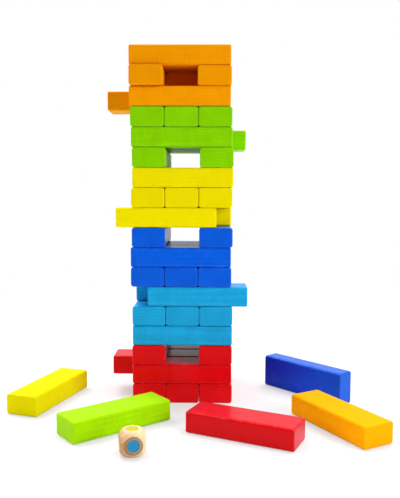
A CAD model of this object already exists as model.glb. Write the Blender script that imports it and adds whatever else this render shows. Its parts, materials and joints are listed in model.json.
# %% [markdown]
# # A tumbling tower of painted blocks
# The game is a stack of beech blocks, three to a level, each level laid across the one below. Some
# blocks are pushed out of line, some are pulled out and lie round the tower, and a wooden colour die
# lies in front. The construction model already says where each block is, so this script gives the
# blocks their softened edges and their painted finish, and then sets up a plain white studio.

# %% Load the construction model as a fixed frame
import json
import math

import bpy
import numpy as np
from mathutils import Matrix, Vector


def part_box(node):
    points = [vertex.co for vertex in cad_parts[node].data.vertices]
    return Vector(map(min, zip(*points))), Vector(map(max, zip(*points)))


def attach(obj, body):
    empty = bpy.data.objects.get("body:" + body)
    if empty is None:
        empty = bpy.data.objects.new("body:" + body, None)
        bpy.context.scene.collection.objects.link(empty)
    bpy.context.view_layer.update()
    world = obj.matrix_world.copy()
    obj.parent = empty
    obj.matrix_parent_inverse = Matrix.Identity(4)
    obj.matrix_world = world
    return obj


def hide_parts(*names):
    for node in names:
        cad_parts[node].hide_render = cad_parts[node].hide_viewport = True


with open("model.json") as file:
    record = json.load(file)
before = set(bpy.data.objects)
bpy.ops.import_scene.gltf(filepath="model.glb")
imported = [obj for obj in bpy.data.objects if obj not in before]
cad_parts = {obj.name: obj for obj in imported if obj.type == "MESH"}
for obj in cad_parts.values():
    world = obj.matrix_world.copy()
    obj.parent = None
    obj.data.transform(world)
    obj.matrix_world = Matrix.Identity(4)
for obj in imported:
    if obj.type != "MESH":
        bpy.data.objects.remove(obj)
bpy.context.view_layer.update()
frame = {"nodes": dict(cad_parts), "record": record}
nodes = frame["nodes"]
MM = 0.001

# %% [markdown]
# ## The camera
# A camera is three numbers and a place: the focal length comes from how wide the tower looks for its
# distance, the pitch from how far the loose blocks' tops open up. All of them were fitted to the
# corners of the blocks. The focal length is in pixels, so it is turned into millimetres on a sensor as
# tall as the picture, because Blender lays the sensor along the picture's longer side.

# %% Camera
PICTURE_HEIGHT = 498
FOCAL_PIXELS = 626.7
SENSOR = 36.0
CAMERA_PLACE = (19.8, -503.2, 157.2)
PITCH_DOWN, YAW_LEFT, ROLL = 4.82, 0.83, -0.19
NEAREST, FARTHEST = 0.01, 50.0

camera_data = bpy.data.cameras.new("camera")
camera_data.sensor_width = SENSOR
camera_data.lens = FOCAL_PIXELS * SENSOR / PICTURE_HEIGHT
camera_data.clip_start, camera_data.clip_end = NEAREST, FARTHEST
camera = bpy.data.objects.new("camera", camera_data)
bpy.context.scene.collection.objects.link(camera)
camera.location = [v * MM for v in CAMERA_PLACE]
camera.rotation_euler = [math.radians(a) for a in (90 - PITCH_DOWN, ROLL, YAW_LEFT)]
bpy.context.scene.camera = camera
print("lens: %.1f mm" % camera_data.lens)

# %% [markdown]
# ## Surfaces from arrays
# Every piece here is a grid of points worked out by numpy. A grid could be built vertex by vertex with
# bmesh, but whole arrays are quicker and read like the formula that they come from. The helpers below
# join a grid into quads, close it round its second direction, and give the mesh the exact normals of
# the formula, so that a flat face stays flat right up to its rounded edge.

# %% A grid of points becomes a mesh
def grid_quads(rows, columns):
    """Quads of a grid that closes round its columns: (r, c), (r, c + 1), (r + 1, c + 1), (r + 1, c)."""
    r, c = np.meshgrid(np.arange(rows - 1), np.arange(columns), indexing="ij")
    after = (c + 1) % columns
    quads = [r * columns + c, r * columns + after, (r + 1) * columns + after, (r + 1) * columns + c]
    return np.stack(quads, -1).reshape(-1, 4)


def pole_fan(ring_start, columns, pole, flip):
    """Triangles from a ring of points to one point, which closes the grid there."""
    c = np.arange(columns)
    after = (c + 1) % columns
    first, second = (after, c) if flip else (c, after)
    return np.stack([ring_start + first, ring_start + second, np.full(columns, pole)], -1)


def make_mesh(name, points, faces, normals, attributes):
    """A mesh object at the origin with these points (metres), faces and smooth normals. Attributes are
    named arrays with one number or one vector for each point."""
    mesh = bpy.data.meshes.new(name)
    mesh.from_pydata(points.tolist(), [], [f for part in faces for f in part.tolist()])
    mesh.polygons.foreach_set("use_smooth", np.ones(len(mesh.polygons), bool))
    mesh.normals_split_custom_set_from_vertices(normals.tolist())
    for label, values in attributes.items():
        kind, field = ("FLOAT_VECTOR", "vector") if values.ndim == 2 else ("FLOAT", "value")
        numbers = np.ravel(values).astype(np.float32)
        mesh.attributes.new(label, kind, "POINT").data.foreach_set(field, numbers)
    piece = bpy.data.objects.new(name, mesh)
    bpy.context.scene.collection.objects.link(piece)
    return piece

# %% [markdown]
# ## The block
# A real block starts as a long moulded stick of beech, so its four long edges have the moulder's 2 mm
# radius. The stick is then sawn, and the edges round the two ends are only sanded, to about 1 mm.
# A bevel modifier would give one radius everywhere, so the surface is written out instead: the
# outline of the stick is carried along its length, and at each end it draws in along a quarter circle.

# %% The outline of the stick
BLOCK_LENGTH, BLOCK_WIDTH, BLOCK_HEIGHT = 75.0, 25.0, 14.8
LONG_EDGE_RADIUS, END_EDGE_RADIUS = 2.0, 1.1
CORNER_STEPS, SIDE_STEPS = 7, 3


def stick_outline(width, height, radius):
    """Centres, outward normals and edge mask round a rectangle with quarter-round corners. A point of the
    outline is centre + radius * normal; along a flat side the centre moves and the normal stays. The
    mask is sin(2 * turn) round a corner, so 1 in its middle, and 0 along a side."""
    across, up = width / 2 - radius, height / 2 - radius
    corners = np.array([[across, up], [-across, up], [-across, -up], [across, -up]])
    turn = np.linspace(0, math.pi / 2, CORNER_STEPS)
    share = np.linspace(0, 1, SIDE_STEPS + 1)[1:-1, None]
    centres, normals, rounded = [], [], []
    for k, (corner, following) in enumerate(zip(corners, np.roll(corners, -1, 0))):
        angles = turn + k * math.pi / 2
        arc = np.stack([np.cos(angles), np.sin(angles)], -1)
        side = corner * (1 - share) + following * share
        centres += [np.repeat(corner[None], CORNER_STEPS, 0), side]
        normals += [arc, np.repeat(arc[-1:], len(share), 0)]
        rounded += [np.sin(2 * turn), np.zeros(len(share))]
    return np.concatenate(centres), np.concatenate(normals), np.concatenate(rounded)


OUTLINE = stick_outline(BLOCK_WIDTH, BLOCK_HEIGHT, LONG_EDGE_RADIUS)
print("outline of the stick:", len(OUTLINE[0]), "points")

# %% [markdown]
# The second direction runs from one end to the other. Along the quarter circle at each end, at angle b,
# the outline has come in by r (1 - cos b) and moved out by r sin b, and its normal leans towards the
# end by b. The sawn face itself is the same outline shrunk in rings towards the middle.

# %% The whole block, along its own X axis, in millimetres
END_STEPS, LENGTH_STEPS, CAP_RINGS = 6, 16, 4


def stick_surface():
    """Points, normals and edge mask of the stick's skin, without its two sawn faces, as a grid of
    places along the block by places round it."""
    centres, across, rounded = OUTLINE
    lean = np.linspace(0, math.pi / 2, END_STEPS)
    straight = BLOCK_LENGTH / 2 - END_EDGE_RADIUS
    middle = np.linspace(-straight, straight, LENGTH_STEPS)[1:-1]
    tilt = np.concatenate([-lean[::-1], 0 * middle, lean])[:, None]
    turn_centres = [np.full(END_STEPS, -straight), middle, np.full(END_STEPS, straight)]
    along = np.concatenate(turn_centres)[:, None] + END_EDGE_RADIUS * np.sin(tilt)
    radius = LONG_EDGE_RADIUS - END_EDGE_RADIUS * (1 - np.cos(tilt))
    one = np.ones((1, len(centres)))
    points = np.concatenate([(along * one)[..., None], centres + radius[..., None] * across], -1)
    normals = np.concatenate([(np.sin(tilt) * one)[..., None], np.cos(tilt)[..., None] * across], -1)
    edge = np.maximum(np.sin(2 * np.abs(tilt)) * one, rounded)
    return points, normals, edge


def block_surface():
    """Faces, points, normals and edge mask of the closed block: the skin, and each sawn face as rings of
    its border shrunk to a point."""
    skin, skin_normals, skin_edge = stick_surface()
    rows, columns = skin_edge.shape
    points, normals, edge = [skin.reshape(-1, 3)], [skin_normals.reshape(-1, 3)], [skin_edge.ravel()]
    faces = [grid_quads(rows, columns)]
    shrink = np.linspace(1, 0, CAP_RINGS + 1)[:-1, None, None]
    for sign, row in ((-1, 0), (1, rows - 1)):
        start = sum(len(p) for p in points)
        rings = skin[row] * np.concatenate([0 * shrink + 1, shrink, shrink], -1)
        cap = np.concatenate([rings.reshape(-1, 3), [[sign * BLOCK_LENGTH / 2, 0, 0]]])
        quads = grid_quads(CAP_RINGS, columns) + start
        faces.append(quads if sign > 0 else quads[:, ::-1])
        faces.append(pole_fan(start + len(cap) - 1 - columns, columns, start + len(cap) - 1, sign < 0))
        points.append(cap)
        normals.append(np.repeat([[sign, 0.0, 0.0]], len(cap), 0))
        edge.append(np.zeros(len(cap)))
    return faces, np.concatenate(points), np.concatenate(normals), np.concatenate(edge)

# %% [markdown]
# The skin's last row and the sawn face's first ring are the same points, so the two are welded. The
# weld works for any piece: points that fall together become one, and the faces are renumbered.

# %% Weld points that fall together
WELD = 0.001


def welded(faces, points, *others):
    """The same surface with one point wherever several lay within a micrometre. Others are whatever
    else is known of each point, such as its normal."""
    keys = np.round(points / WELD).astype(np.int64)
    first, same = np.unique(keys, axis=0, return_index=True, return_inverse=True)[1:]
    faces = [same.ravel()[part] for part in faces]
    return faces, points[first], *(values[first] for values in others)


BLOCK = welded(*block_surface())
print("a block:", len(BLOCK[1]), "points,", sum(len(part) for part in BLOCK[0]), "faces")

# %% [markdown]
# ## Where each block lies
# Each construction block is already in place, so its own faces say how it lies: the largest flat
# triangle is on the broad face, and its normal is the block's thickness. The largest one square to
# that gives the width, and the length is square to both. This reads the turned loose blocks, and the
# one that stands on its side, in the same way as those of the tower.

# %% Read a block's middle and axes from its construction mesh
SQUARE_TO = 0.01


def block_pose(node):
    """The middle and the three axes (length, width, thickness, as columns) of a construction block."""
    mesh = nodes[node].data
    points = np.zeros(len(mesh.vertices) * 3, np.float32)
    mesh.vertices.foreach_get("co", points)
    mesh.calc_loop_triangles()
    corners = np.zeros(len(mesh.loop_triangles) * 3, np.int32)
    mesh.loop_triangles.foreach_get("vertices", corners)
    points = points.reshape(-1, 3).astype(float)
    a, b, c = points[corners.reshape(-1, 3)].transpose(1, 0, 2)
    cross = np.cross(b - a, c - a)
    area = np.linalg.norm(cross, axis=1)
    thickness = cross[np.argmax(area)] / area.max()
    square = np.abs(cross @ thickness) < SQUARE_TO * area
    widest = np.argmax(np.where(square, area, 0))
    width = cross[widest] / area[widest]
    axes = np.stack([np.cross(width, thickness), width, thickness], 1)
    along = points @ axes
    return axes @ ((along.min(0) + along.max(0)) / 2), axes


print("the loose blue block's thickness points along", block_pose("loose_blue")[1][:, 2].round(2))

# %% [markdown]
# Every block is cut from another piece of wood, so each gets its own slice of the grain, its own tone
# and its own spots of wear. They are stored on the mesh as attributes: `grain` is the place in the
# tree in millimetres, with the tree's heart along X, `sawn` is 1 on the two sawn ends, `edge` is 1
# along the middle of a rounded edge, and `tone` is one number for the whole block.
#
# Three more say how single blocks differ from the rest. Two loose blocks are a little yellower than
# those of the tower, as if from another tin of paint: `warmth`. Three others have a heavier, darker
# coat: `heavy`. And the block that is pushed back in level 17 has a front end that has drunk so much
# paint that it is nearly red, which shows at the end of its gap: `soaked`. The loose blue block has
# both on the broad side that looks to the front, where the wet paint has run towards the left end.

# %% Build one block
TREE_LENGTH = 900.0
HEART_DISTANCE = (35.0, 110.0)
WARM_BLOCKS = ("loose_green", "loose_orange")
HEAVY_COATS = {"loose_red": 0.17, "loose_yellow": 0.14, "loose_blue": 0.14}
SOAKED_END, RUN_COAT = "level_17_middle_orange", "loose_blue"
RUN_SOAKED, RUN_SOAKED_LEFT = 0.55, 0.45
RUN_LIGHTER, RUN_HEAVIER_LEFT = 0.06, 0.45
FACE_ONLY = 8
SEED = 54
random = np.random.default_rng(SEED)


def place_in_tree():
    """Where in a tree a stick was cut: somewhere along it, at some distance from its heart."""
    angle, distance = random.uniform(0, 2 * math.pi), random.uniform(*HEART_DISTANCE)
    along = random.uniform(0, TREE_LENGTH)
    return np.array([along, distance * math.cos(angle), distance * math.sin(angle)])


def build_block(node):
    """The finished block that stands for a construction node. One part of the normal, to the power
    FACE_ONLY, is 1 on the flat face that looks that way and falls to 0 round its edges."""
    middle, axes = block_pose(node)
    faces, points, normals, edge = BLOCK
    tone = np.full(len(points), random.uniform(-1, 1))
    warmth = np.full(len(points), float(node in WARM_BLOCKS))
    heavy = np.full(len(points), HEAVY_COATS.get(node, 0.0))
    turned_normals = normals @ axes.T
    front = np.clip(-turned_normals[:, 1], 0, 1)
    soaked = front ** FACE_ONLY * float(node == SOAKED_END)
    if node == RUN_COAT:
        broad_front = np.abs(normals[:, 2]) ** FACE_ONLY * (front > 0)
        leftward = 0.5 - np.sign(axes[0, 0]) * points[:, 0] / BLOCK_LENGTH
        soaked = broad_front * (RUN_SOAKED + RUN_SOAKED_LEFT * leftward)
        heavy = heavy + broad_front * (RUN_HEAVIER_LEFT * leftward ** 2 - RUN_LIGHTER)
    attributes = {"grain": points + place_in_tree(), "sawn": np.abs(normals[:, 0]), "edge": edge}
    attributes |= {"tone": tone, "warmth": warmth, "heavy": heavy, "soaked": soaked}
    placed = points * MM @ axes.T + middle
    return make_mesh(node + "_painted", placed, faces, turned_normals, attributes)


block_nodes = sorted(n for n in nodes if not n.startswith("die"))
blocks = {node: build_block(node) for node in block_nodes}
print("blocks:", len(blocks))

# %% [markdown]
# ## The die
# The die is a beech cube that was tumbled until its corners followed a ball, so each face keeps only a
# round flat. A cube with a bevel has square flats, so the die is made of six equal caps. A cap is a
# profile, swept round the middle of the face: the floor of the drilled recess, its wall and rim, the
# flat, a soft turn, and then the ball, out to the cube's diagonal where the next cap begins.

# %% The profile of one face
DIE_SIZE, BALL_RADIUS = 16.0, 9.9
SPOT_DIAMETER, SPOT_RECESS, SPOT_PAINT = 8.0, 0.4, 0.2
FLOOR_CORNER, RIM_RADIUS, TURN_RADIUS = 0.03, 0.12, 0.7
DIE_COLUMNS, RIM_STEPS, TURN_STEPS, BALL_STEPS = 96, 4, 5, 12


def die_profile():
    """Distance from the face's middle line, height over the die's middle and lean of the normal, from
    the recess out to the ball, and the angle at which the ball starts. The turn is an arc that touches
    both the flat and the ball."""
    half, spot = DIE_SIZE / 2, SPOT_DIAMETER / 2
    floor = half - SPOT_RECESS
    rim = np.linspace(0, math.pi / 2, RIM_STEPS)
    turn_across = math.sqrt((BALL_RADIUS - TURN_RADIUS) ** 2 - (half - TURN_RADIUS) ** 2)
    ball_starts = math.atan2(turn_across, half - TURN_RADIUS)
    bend = np.linspace(0, ball_starts, TURN_STEPS)
    recess = [spot / 3, spot * 2 / 3, spot - FLOOR_CORNER, spot]
    recess_height = [floor, floor, floor, floor + FLOOR_CORNER]
    across = [recess, spot + RIM_RADIUS * (1 - np.cos(rim)), turn_across + TURN_RADIUS * np.sin(bend)]
    rim_height, turn_height = RIM_RADIUS * (1 - np.sin(rim)), TURN_RADIUS * (1 - np.cos(bend))
    height = [recess_height, half - rim_height, half - turn_height]
    lean = [[0, 0, 0, -math.pi / 2], rim - math.pi / 2, bend]
    return np.concatenate(across), np.concatenate(height), np.concatenate(lean), ball_starts


def sweep(across, height, lean, way):
    """Points and normals of a profile carried round Z: (across * way, height) and (sin lean * way,
    cos lean)."""
    one = np.ones((1, len(way), 1))
    points = np.concatenate([across[:, None, None] * way, height[:, None, None] * one], -1)
    normals = np.concatenate([np.sin(lean)[:, None, None] * way, np.cos(lean)[:, None, None] * one], -1)
    return points.reshape(-1, 3), normals.reshape(-1, 3)


print("the ball starts %.0f degrees from the middle of a face" % math.degrees(die_profile()[-1]))

# %% [markdown]
# Past the turn the ball is written by its angle from the face's middle line. The cube's diagonals lie
# where tan(angle) = 1 / max(|cos|, |sin|) of the way round, and there the cap ends.

# %% One cap of the die, its face towards +Z
ROUND = 2 * math.pi * np.arange(DIE_COLUMNS) / DIE_COLUMNS
WAY = np.stack([np.cos(ROUND), np.sin(ROUND)], -1)


def die_cap():
    """Faces, points and normals of one sixth of the die's skin, in millimetres from its middle. On the
    ball a point is radius * (sin(angle) * way, cos(angle))."""
    across, height, lean, ball_starts = die_profile()
    swept, swept_normals = sweep(across, height, lean, WAY)
    diagonal = np.arctan(1 / np.abs(WAY).max(1))
    angle = ball_starts + (diagonal - ball_starts) * np.linspace(0, 1, BALL_STEPS + 1)[1:, None]
    ball = np.concatenate([np.sin(angle)[..., None] * WAY, np.cos(angle)[..., None]], -1).reshape(-1, 3)
    points = np.concatenate([swept, BALL_RADIUS * ball, [[0, 0, height[0]]]])
    normals = np.concatenate([swept_normals, ball, [[0, 0, 1]]])
    rows = (len(points) - 1) // DIE_COLUMNS
    faces = [grid_quads(rows, DIE_COLUMNS)[:, ::-1], pole_fan(0, DIE_COLUMNS, len(points) - 1, False)]
    return faces, points, normals


CAP = die_cap()
print("a cap:", len(CAP[1]), "points")

# %% [markdown]
# The six caps are turned to the six faces. Where two caps meet, both have a point at the same angles
# along the diagonal, so the weld makes them one closed skin. The grain of the die runs from its front
# to its back, so those two faces show end grain, and the tree's heart was on its left, where beech is
# browner: `sawn` and `heart` say how much of each a point has. Light has bleached the top a little.

# %% The six faces of the die
def turned(x, y, z):
    """The matrix whose columns are these three axes."""
    return np.array([x, y, z], float).T


DIE_FACES = {
    "top": turned((1, 0, 0), (0, 1, 0), (0, 0, 1)),
    "bottom": turned((1, 0, 0), (0, -1, 0), (0, 0, -1)),
    "front": turned((1, 0, 0), (0, 0, 1), (0, -1, 0)),
    "back": turned((-1, 0, 0), (0, 0, 1), (0, 1, 0)),
    "left": turned((0, -1, 0), (0, 0, 1), (-1, 0, 0)),
    "right": turned((0, 1, 0), (0, 0, 1), (1, 0, 0)),
}
SPOT_COLOURS = {
    "top": "yellow",
    "bottom": "green",
    "front": "light_blue",
    "back": "blue",
    "left": "orange",
    "right": "red",
}
DIE_TURN = math.radians(12)
BLEACHED = 0.4


def die_place():
    """The middle of the die and its turn about Z, as a matrix."""
    low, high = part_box("die")
    c, s = math.cos(DIE_TURN), math.sin(DIE_TURN)
    return (np.array(low) + np.array(high)) / 2, turned((c, s, 0), (-s, c, 0), (0, 0, 1))


def build_die():
    """The bare wooden die, with a shallow recess in each face."""
    middle, turn = die_place()
    cap_faces, cap, cap_normals = CAP
    points = np.concatenate([cap @ face.T for face in DIE_FACES.values()])
    normals = np.concatenate([cap_normals @ face.T for face in DIE_FACES.values()])
    faces = [part + k * len(cap) for k in range(len(DIE_FACES)) for part in cap_faces]
    faces, points, normals = welded(faces, points, normals)
    attributes = {"grain": points[:, [1, 2, 0]] + place_in_tree(), "sawn": normals[:, 1] ** FACE_ONLY}
    bleached = BLEACHED * np.clip(normals[:, 2], 0, 1)
    attributes["heart"] = np.clip(0.5 - points[:, 0] / DIE_SIZE, 0, 1) * (1 - bleached)
    return make_mesh("die_wood", points * MM @ turn.T + middle, faces, normals @ turn.T, attributes)


die = build_die()
print("die:", len(die.data.vertices), "points,", len(die.data.polygons), "faces")

# %% [markdown]
# ## The painted spots of the die
# A real spot is a drop of paint in the drilled recess: level in the middle, and drawn up a little where
# it wets the wall. A flat disc would do from afar, but the raised rim catches the light as paint does.
# The drop is a profile, swept round the middle of the face and closed at the bottom.

# %% Six drops of paint
SPOT_RINGS = 12
WETTING, WETTING_WIDTH = 0.07, 0.35
SPOT_CLEARANCE, SPOT_LIP = 0.01, 0.02


def spot_surface():
    """Faces, points and normals of a closed disc towards +Z. Its top rises by WETTING * exp(-(way to the
    wall) / width), turns over a small lip and goes straight down."""
    reach, floor = SPOT_DIAMETER / 2 - SPOT_CLEARANCE, DIE_SIZE / 2 - SPOT_RECESS
    radius = (reach - SPOT_LIP) * np.sqrt(np.linspace(0, 1, SPOT_RINGS + 1)[1:])
    rise = WETTING * np.exp((radius - reach) / WETTING_WIDTH)
    top = floor + SPOT_PAINT + rise
    across = np.concatenate([radius, [reach, reach]])
    height = np.concatenate([top, [top[-1] - SPOT_LIP, floor]])
    lean = np.concatenate([-np.arctan(rise / WETTING_WIDTH), [math.pi / 2, math.pi / 2]])
    points, normals = sweep(across, height, lean, WAY)
    count = len(points)
    points = np.concatenate([points, [[0, 0, floor + SPOT_PAINT], [0, 0, floor]]])
    normals = np.concatenate([normals, [[0, 0, 1], [0, 0, -1]]])
    faces = [grid_quads(len(across), DIE_COLUMNS)[:, ::-1], pole_fan(0, DIE_COLUMNS, count, False),
             pole_fan(count - DIE_COLUMNS, DIE_COLUMNS, count + 1, True)]
    return faces, points, normals


def build_spot(face):
    """The drop of paint on one face of the die."""
    middle, turn = die_place()
    faces, points, normals = spot_surface()
    axes = turn @ DIE_FACES[face]
    attributes = {"grain": points + place_in_tree()}
    return make_mesh("spot_" + face, points * MM @ axes.T + middle, faces, normals @ axes.T, attributes)


spots = {face: build_spot(face) for face in DIE_FACES}
print("spots:", ", ".join(spots))

# %% [markdown]
# ## Shader maths as expressions
# A finish is a sum of patterns, and a sum reads best as a sum. The class below wraps a shader socket,
# so that `0.5 + 0.3 * fibre` adds the Math nodes by itself. One method adds every other node. The Mix
# node has sockets of one name for numbers, vectors and colours, so those for colours go by their place.

# %% Sockets in expressions
MIX_FACTOR, MIX_FIRST, MIX_SECOND, MIX_RESULT = 0, 6, 7, 2


class Wire:
    """A shader socket that takes part in arithmetic. Each operator adds one Math node."""

    def __init__(self, finish, socket):
        self.finish, self.socket = finish, socket

    def math(self, operation, *values):
        return self.finish.add("ShaderNodeMath", {"operation": operation}, values)

    def __add__(self, other):
        return self.math("ADD", self, other)

    def __sub__(self, other):
        return self.math("SUBTRACT", self, other)

    def __rsub__(self, other):
        return self.math("SUBTRACT", other, self)

    def __mul__(self, other):
        return self.math("MULTIPLY", self, other)

    __radd__, __rmul__ = __add__, __mul__

    def sine(self):
        return self.math("SINE", self)

    def swing(self, amount):
        """A pattern from 0 to 1 as a change by up to half the amount, up or down."""
        return amount * (self - 0.5)

    def between(self, low, high):
        """0 below low, 1 above high and smooth in between."""
        limits = {"Value": self, "From Min": low, "From Max": high}
        return self.finish.add("ShaderNodeMapRange", {"interpolation_type": "SMOOTHSTEP"}, limits)


class Finish:
    """A node tree under construction."""

    def __init__(self, tree):
        self.tree = tree
        tree.nodes.clear()

    def add(self, kind, settings, inputs, output=0):
        """Adds a node: its settings first, then the values or wires of its sockets, by name or in
        order. Gives the wire of one output."""
        node = self.tree.nodes.new(kind)
        for label, value in settings.items():
            setattr(node, label, value)
        for where, value in (inputs.items() if isinstance(inputs, dict) else enumerate(inputs)):
            if isinstance(value, Wire):
                self.tree.links.new(value.socket, node.inputs[where])
            else:
                node.inputs[where].default_value = value
        return Wire(self, node.outputs[output]) if node.outputs else None

    def attribute(self, name, output="Fac"):
        return self.add("ShaderNodeAttribute", {"attribute_name": name}, {}, output)

    def stretched(self, vector, factors):
        """The vector with each part multiplied by its own factor."""
        return self.add("ShaderNodeVectorMath", {"operation": "MULTIPLY"}, [vector, factors])

    def noise(self, vector, scale, detail=3.0, roughness=0.5):
        inputs = {"Vector": vector, "Scale": scale, "Detail": detail, "Roughness": roughness}
        return self.add("ShaderNodeTexNoise", {}, inputs)

    def mixed(self, factor, first, second):
        """A colour between two colours."""
        inputs = {MIX_FACTOR: factor, MIX_FIRST: first, MIX_SECOND: second}
        return self.add("ShaderNodeMix", {"data_type": "RGBA"}, inputs, MIX_RESULT)

    def bumped(self, height, strength, distance):
        inputs = {"Height": height, "Strength": strength, "Distance": distance}
        return self.add("ShaderNodeBump", {}, inputs)

    def surface(self, colour, rough, bump, even):
        """The Principled surface with this colour, roughness and bump, and with values for other sockets
        that are even all over it. It is joined to the output."""
        sockets = {"Base Color": colour, "Roughness": rough, "Normal": bump} | even
        self.add("ShaderNodeOutputMaterial", {}, [self.add("ShaderNodeBsdfPrincipled", {}, sockets)])


def new_material(name):
    """An empty material and its node tree, ready to build."""
    material = bpy.data.materials.new(name)
    material.use_nodes = True
    return material, Finish(material.node_tree)

# %% [markdown]
# ## Colours
# Paints are mixed by eye, so they are written as display values, while shaders work in linear light.
# The helper turns the first into the second. The six paints are strong, clear toy colours, and beech
# has a light and a dark tone.

# %% Paint colours
def linear(red, green, blue):
    """Display values from 0 to 255 as linear light, by the sRGB curve."""
    display = np.array([red, green, blue]) / 255
    return np.where(display <= 0.04045, display / 12.92, ((display + 0.055) / 1.055) ** 2.4)


def solid(colour):
    """A linear colour as the four numbers of a colour socket, kept between 0 and 1."""
    return (*np.clip(colour, 0, 1).tolist(), 1.0)


PAINTS = {
    "red": linear(214, 6, 14),
    "light_blue": linear(23, 155, 209),
    "blue": linear(6, 88, 214),
    "yellow": linear(231, 216, 3),
    "green": linear(131, 204, 4),
    "orange": linear(238, 150, 4),
}
BEECH_LIGHT, BEECH_DARK = linear(224, 194, 152), linear(178, 126, 72)
print("paints:", ", ".join(PAINTS))

# %% [markdown]
# ## Grain
# Wood is a solid pattern: growth rings round the heart of the tree and fibres along it. The `grain`
# attribute is a place in that solid, so the streaks on a block's side meet the arcs on its end without
# any unwrapping. Fibres are noise that is drawn out along the tree; rings are waves of the distance
# from the heart, bent a little by a slow noise. The scales of all patterns are per millimetre.

# %% The grain of beech
RING_WIDTH, RING_BEND = 2.4, 7.0
FIBRE_SCALE, BEND_SCALE = 1.8, 0.05
FIBRE_STRETCH, BEND_STRETCH, ACROSS = (0.03, 1.0, 1.0), (0.2, 1.0, 1.0), (0.0, 1.0, 1.0)


def beech_grain(finish):
    """The place in the tree, fine fibres along it (0 to 1) and growth rings round its heart (-1 to 1),
    which are sin(2 pi (distance from the heart + bend) / ring width)."""
    place = finish.attribute("grain", "Vector")
    fibre = finish.noise(finish.stretched(place, FIBRE_STRETCH), FIBRE_SCALE, detail=5.0, roughness=0.6)
    bend = finish.noise(finish.stretched(place, BEND_STRETCH), BEND_SCALE, detail=2.0)
    across = finish.stretched(place, ACROSS)
    from_heart = finish.add("ShaderNodeVectorMath", {"operation": "LENGTH"}, [across], "Value")
    rings = ((from_heart + RING_BEND * bend) * (2 * math.pi / RING_WIDTH)).sine()
    return place, fibre, rings

# %% [markdown]
# ## Paint on wood
# The blocks are dipped or sprayed with thin satin paint, so the grain still shows through as faint
# streaks, with a few marks of the planer across them. The blues and the green are thin and show more
# of the wood than yellow and orange do. The sawn ends drink more paint and turn a little darker, and
# the edges are rubbed paler in places. One function makes all six finishes from a colour: the patterns
# are added up to a depth of paint, which moves the colour between a darker and a lighter mix.
#
# The six paints also differ in shine. Red and blue show a pale veil on the faces that are seen at a
# flat angle, while yellow and orange stay full of colour there. Two things make such a veil: the mirror
# shine of the paint, which grows as it is seen flatter, and the powder of its pigment, which scatters
# light much as the down of a peach does. Both have a low number for each paint, and the powder a tint.
# Red and blue are also the smoothest, so the tower takes the veil off the tops that mirror it.

# %% How the six paints differ
COOL, FRESH, VIOLET = (0.5, 0.8, 1.0, 1.0), (0.9, 1.0, 0.5, 1.0), (0.4, 0.6, 1.0, 1.0)
PAINT_LAYERS = {
    "red": {"grain": 2.2, "rough": 0.24, "shine": 0.08, "veil": 0.3, "tint": VIOLET},
    "light_blue": {"grain": 4.0, "rough": 0.34, "shine": 0.06, "veil": 0.15, "tint": COOL},
    "blue": {"grain": 3.6, "rough": 0.26, "shine": 0.11, "veil": 0.2, "tint": COOL},
    "yellow": {"grain": 1.4, "rough": 0.34, "shine": 0.005, "veil": 0.0, "tint": COOL},
    "green": {"grain": 3.0, "rough": 0.34, "shine": 0.01, "veil": 0.25, "tint": FRESH},
    "orange": {"grain": 1.6, "rough": 0.34, "shine": 0.005, "veil": 0.0, "tint": COOL},
}
print("thinnest paint:", max(PAINT_LAYERS, key=lambda colour: PAINT_LAYERS[colour]["grain"]))

# %% [markdown]
# The patterns come first, each a noise of its own size. What shows of each in the depth of the paint,
# how much it dulls the shine and how far it rises in the bump are shares, named once for all six.

# %% Painted wood
BLOTCH_SCALE, PEEL_SCALE, MARK_SCALE, MARK_STRETCH = 0.09, 1.1, 0.45, (1.0, 0.2, 0.2)
WEAR_SCALE, WEAR_STARTS, WEAR_FULL = 0.3, 0.48, 0.7
THIN, THICK = 1.16, 0.8
FIBRE_SHOWS, BLOTCH_SHOWS, RINGS_SHOW, MARKS_SHOW = 0.39, 0.22, 0.02, 0.2
TONE_SHOWS, SAWN_DARKENS = 0.06, 0.11
WARM_PAINT, HEAVY_PAINT, PAINT_LEFT = linear(255, 214, 0), solid(np.zeros(3)), 0.5
WARM_MIX, SOAKED_MIX, RUBBED_MIX = 0.1, 0.6, 0.06
BLOTCH_DULLS, FIBRE_DULLS, SAWN_DULLS, WEAR_DULLS = 0.12, 0.1, 0.06, 0.15
FIBRE_RISES, PEEL_RISES, RINGS_RISE = 0.6, 0.4, 0.1
PAINT_BUMP, PAINT_RELIEF = 0.5, 0.00003
VEIL_SPREAD = 0.3


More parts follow.
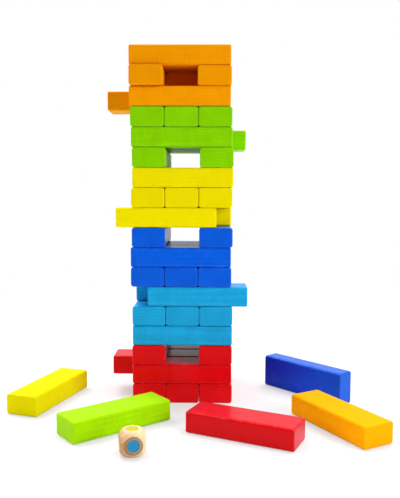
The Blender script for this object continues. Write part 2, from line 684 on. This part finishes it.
def painted_wood(name, paint, grain, rough, shine, veil, tint):
    """Paint of one colour on beech: how much the grain shows, its roughness, mirror shine and veil."""
    material, finish = new_material(name)
    place, fibre, rings = beech_grain(finish)
    blotch = finish.noise(place, BLOTCH_SCALE)
    peel = finish.noise(place, PEEL_SCALE, detail=2.0)
    marks = finish.noise(finish.stretched(place, MARK_STRETCH), MARK_SCALE)
    edge, sawn, tone = (finish.attribute(label) for label in ("edge", "sawn", "tone"))
    warmth, heavy, soaked = (finish.attribute(label) for label in ("warmth", "heavy", "soaked"))
    wear = finish.noise(place, WEAR_SCALE, detail=4.0, roughness=0.6)
    rubbed = edge * wear.between(WEAR_STARTS, WEAR_FULL)
    along = fibre.swing(FIBRE_SHOWS) + blotch.swing(BLOTCH_SHOWS) + RINGS_SHOW * grain * rings * blotch
    across = marks.swing(MARKS_SHOW) * (1.0 - sawn)
    thin = 0.5 + grain * (along + across) + TONE_SHOWS * tone - SAWN_DARKENS * sawn
    colour = finish.mixed(thin, solid(THICK * paint), solid(THIN * paint))
    colour = finish.mixed(WARM_MIX * warmth, colour, solid(WARM_PAINT))
    colour = finish.mixed(heavy, colour, HEAVY_PAINT)
    colour = finish.mixed(SOAKED_MIX * soaked, colour, solid(paint * paint / paint.max()))
    bare = PAINT_LEFT * paint + (1 - PAINT_LEFT) * BEECH_LIGHT
    colour = finish.mixed(RUBBED_MIX * rubbed, colour, solid(bare))
    dull = rough + blotch.swing(BLOTCH_DULLS) + fibre.swing(FIBRE_DULLS)
    dull = dull + SAWN_DULLS * sawn + WEAR_DULLS * rubbed
    height = FIBRE_RISES * fibre + PEEL_RISES * peel + RINGS_RISE * rings
    bump = finish.bumped(height, PAINT_BUMP, PAINT_RELIEF)
    powder = {"Sheen Weight": veil, "Sheen Roughness": VEIL_SPREAD, "Sheen Tint": tint}
    finish.surface(colour, dull, bump, powder | {"Specular IOR Level": shine})
    return material

# %% [markdown]
# ## Bare beech
# The die is not painted. Beech is pale and even, with faint rings and the short brown dashes of its
# rays, and its end grain is darker, because light sinks into the open pores there.

# %% Bare wood
DASH_SCALE, DASH_STRETCH, DASH_STARTS, DASH_FULL = 3.0, (0.3, 1.0, 1.0), 0.62, 0.72
WOOD_TONE, WOOD_FIBRE, WOOD_RINGS, WOOD_DASHES = 0.05, 0.7, 0.1, 0.35
WOOD_SAWN, WOOD_HEART = 0.4, 1.05
END_SHADE, END_MIX = 0.45, 0.68
DASHES_SINK, WOOD_BUMP, WOOD_RELIEF = 0.3, 0.6, 0.00004
WOOD_ROUGH, WOOD_FIBRE_DULLS, WOOD_SHINE = 0.42, 0.1, 0.4


def bare_beech(name):
    """Smoothly sanded, unpainted beech."""
    material, finish = new_material(name)
    place, fibre, rings = beech_grain(finish)
    flecks = finish.noise(finish.stretched(place, DASH_STRETCH), DASH_SCALE, detail=1.0)
    dashes = flecks.between(DASH_STARTS, DASH_FULL)
    sawn, heart = finish.attribute("sawn"), finish.attribute("heart")
    dark = WOOD_TONE + fibre.swing(WOOD_FIBRE) + WOOD_RINGS * rings + WOOD_DASHES * dashes
    dark = dark + WOOD_SAWN * sawn + WOOD_HEART * heart * heart
    colour = finish.mixed(dark, solid(BEECH_LIGHT), solid(BEECH_DARK))
    colour = finish.mixed(END_MIX * sawn, colour, solid(END_SHADE * BEECH_DARK))
    bump = finish.bumped(fibre - DASHES_SINK * dashes, WOOD_BUMP, WOOD_RELIEF)
    rough = WOOD_ROUGH + fibre.swing(WOOD_FIBRE_DULLS)
    finish.surface(colour, rough, bump, {"Specular IOR Level": WOOD_SHINE})
    return material

# %% [markdown]
# ## Spot paint
# The spots are drops of thicker paint on bare wood, which soaks some of it up, so they are deeper in
# colour than the blocks, duller, and a little uneven.

# %% Paint of the spots
CLOUD_SCALE, DROP_PEEL_SCALE = 0.5, 2.0
DROP_DEEP, DROP_PALE, DROP_MILK = 0.5, 0.58, 0.005
DROP_PEEL_RISES, DROP_CLOUD_RISES, DROP_BUMP, DROP_RELIEF = 0.7, 0.3, 0.3, 0.00001
DROP_ROUGH, DROP_CLOUD_DULLS, DROP_SHINE = 0.28, 0.12, 0.25


def spot_paint(name, paint):
    """A drop of dull paint."""
    material, finish = new_material(name)
    place = finish.attribute("grain", "Vector")
    cloud, peel = finish.noise(place, CLOUD_SCALE), finish.noise(place, DROP_PEEL_SCALE, detail=2.0)
    colour = finish.mixed(cloud, solid(DROP_DEEP * paint), solid(DROP_PALE * paint + DROP_MILK))
    bump = finish.bumped(DROP_PEEL_RISES * peel + DROP_CLOUD_RISES * cloud, DROP_BUMP, DROP_RELIEF)
    rough = DROP_ROUGH + cloud.swing(DROP_CLOUD_DULLS)
    finish.surface(colour, rough, bump, {"Specular IOR Level": DROP_SHINE})
    return material

# %% [markdown]
# ## Dress the pieces
# The construction record names the finish of every node. Each new piece gets that finish, moves with
# the body of the node that it stands for, and hides that node.

# %% Finishes, bodies and hidden nodes
slots = {part["node"]: part["material_slot"] for part in frame["record"]["subparts"]}
paints = {"painted_" + c: painted_wood("painted_" + c, PAINTS[c], **PAINT_LAYERS[c]) for c in PAINTS}


def dress(piece, material, body, node):
    """Gives a piece its finish and says which body it rides on and which node it stands for."""
    piece.data.materials.append(material)
    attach(piece, body)
    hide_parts(node)


for node, block in blocks.items():
    dress(block, paints[slots[node]], node, node)
dress(die, bare_beech("bare_beech"), "die", "die")
for face, spot in spots.items():
    colour = SPOT_COLOURS[face]
    paint = spot_paint("spot_paint_" + colour, PAINTS[colour])
    dress(spot, paint, "die", "die_spots")
print("dressed:", len(blocks) + 1 + len(spots), "pieces,", len(bpy.data.materials), "finishes")

# %% [markdown]
# ## The floor
# The photograph's floor melts into a white background, and only faint shadows are left on it. Brighter
# lamps would do that, but they would bleach the paint. So what the camera and mirror reflections see of
# the floor has a glow of its own added to the light that falls on it, while the light that it throws
# back on the blocks is that of plain white card. Away from the tower this near card fades into plain
# white, so that no horizon shows, and it ends just in front of the picture.

# %% A white card
FLOOR_DROP, FLOOR_REACH, FLOOR_FRONT = 0.00005, 3.0, -0.3
CARD_WHITE, CARD_SEEN, CARD_GLOW, FULL_WHITE = 0.85, 0.37, 0.45, 1.0
FADE_START, FADE_END = 0.2, 0.6


def ray(finish, kind):
    """1 for rays of this kind and 0 for all others."""
    return finish.add("ShaderNodeLightPath", {}, {}, kind)


def seen_directly(finish):
    """1 for rays from the camera, in reflections and through glass, and 0 for the light on objects."""
    return ray(finish, "Is Camera Ray") + ray(finish, "Is Glossy Ray") + ray(finish, "Is Transmission Ray")


def build_floor():
    """One large quad under everything, with its own material."""
    low, far, near = -FLOOR_DROP, FLOOR_REACH, FLOOR_FRONT
    mesh = bpy.data.meshes.new("floor")
    corners = [(-far, near, low), (far, near, low), (far, far, low), (-far, far, low)]
    mesh.from_pydata(corners, [], [(0, 1, 2, 3)])
    floor = bpy.data.objects.new("floor", mesh)
    bpy.context.scene.collection.objects.link(floor)
    material, finish = new_material("white_card")
    plain = finish.add("ShaderNodeBsdfDiffuse", {}, {"Color": solid([CARD_WHITE] * 3)})
    lit = finish.add("ShaderNodeBsdfDiffuse", {}, {"Color": solid([CARD_SEEN] * 3)})
    glow = finish.add("ShaderNodeEmission", {}, {"Strength": CARD_GLOW})
    near_card = finish.add("ShaderNodeAddShader", {}, [lit, glow])
    far_card = finish.add("ShaderNodeEmission", {}, {"Strength": FULL_WHITE})
    place = finish.add("ShaderNodeTexCoord", {}, {}, "Object")
    away = finish.add("ShaderNodeVectorMath", {"operation": "LENGTH"}, [place], "Value")
    fade = away.between(FADE_START, FADE_END)
    shown = finish.add("ShaderNodeMixShader", {}, [fade, near_card, far_card])
    card = finish.add("ShaderNodeMixShader", {}, [seen_directly(finish), plain, shown])
    finish.add("ShaderNodeOutputMaterial", {}, [card])
    mesh.materials.append(material)


build_floor()
print("floor:", 2 * FLOOR_REACH, "m wide")

# %% [markdown]
# ## Light
# The photograph tells where its lamps were. The tops are about twice as bright as the fronts, so most
# of the light comes from above and behind. The tower's one faint shadow falls to the front, between the
# green and the red block, so there are two such lamps, and each of them fills the shadow of the other.
# Fronts that look to the right are brighter than those that look to the left, so of the two weaker
# lamps in front the right one is the stronger. All four are large and soft, with a little even light
# all round. The two high lamps stand well back, so that the top of the tower, which is much nearer to
# them than the floor is, gets hardly more of their light. The background is white for the camera, and
# in reflections it darkens towards the front, as the room behind a camera does.

# %% World
ROUND_LIGHT = 0.25
ROOM_DARK, ROOM_WHITE = -0.6, 0.1
WHITE = solid(np.ones(3))


def build_world():
    """Even light on the objects, and a white background with a dark side for reflections."""
    world = bpy.data.worlds.new("studio")
    world.use_nodes = True
    bpy.context.scene.world = world
    finish = Finish(world.node_tree)
    direction = finish.add("ShaderNodeTexCoord", {}, {}, "Generated")
    depth = finish.add("ShaderNodeSeparateXYZ", {}, [direction], "Y")
    bright = 1.0 - ray(finish, "Is Glossy Ray") * (1.0 - depth.between(ROOM_DARK, ROOM_WHITE))
    background = finish.add("ShaderNodeBackground", {}, {"Color": WHITE, "Strength": bright})
    even = finish.add("ShaderNodeBackground", {}, {"Color": WHITE, "Strength": ROUND_LIGHT})
    light = finish.add("ShaderNodeMixShader", {}, [seen_directly(finish), even, background])
    finish.add("ShaderNodeOutputWorld", {}, [light])


build_world()
print("even light all round:", ROUND_LIGHT)

# %% [markdown]
# A lamp is placed by how far round it stands from the front and how high, both in degrees, how far off
# in metres, and how bright a white card would look straight in front of it. A card at distance d under
# a lamp of power P shows P / (pi d)^2.

# %% Lamps
LAMP_TARGET = (0.0, -0.03, 0.1)
LAMPS = {
    "lamp_front_left": {"turn": -65, "height": 25, "distance": 1.0, "size": 0.6, "level": 0.35},
    "lamp_front_right": {"turn": 55, "height": 25, "distance": 1.0, "size": 0.6, "level": 0.78},
    "lamp_back_left": {"turn": -135, "height": 60, "distance": 2.5, "size": 1.5, "level": 1.2},
    "lamp_back_right": {"turn": 135, "height": 60, "distance": 2.5, "size": 1.5, "level": 0.9},
}


def build_lamp(name, turn, height, distance, size, level):
    """A square soft lamp that points at the middle of the tower."""
    turn, height = math.radians(turn), math.radians(height)
    data = bpy.data.lights.new(name, "AREA")
    data.shape, data.size = "SQUARE", size
    data.energy = level * (math.pi * distance) ** 2
    lamp = bpy.data.objects.new(name, data)
    bpy.context.scene.collection.objects.link(lamp)
    away = (math.cos(height) * math.sin(turn), -math.cos(height) * math.cos(turn), math.sin(height))
    lamp.location = [t + distance * a for t, a in zip(LAMP_TARGET, away)]
    lamp.rotation_euler = (math.pi / 2 - height, 0, turn)


for name, settings in LAMPS.items():
    build_lamp(name, **settings)
bpy.context.scene.view_settings.view_transform = "Standard"
print("lamps:", ", ".join(LAMPS))
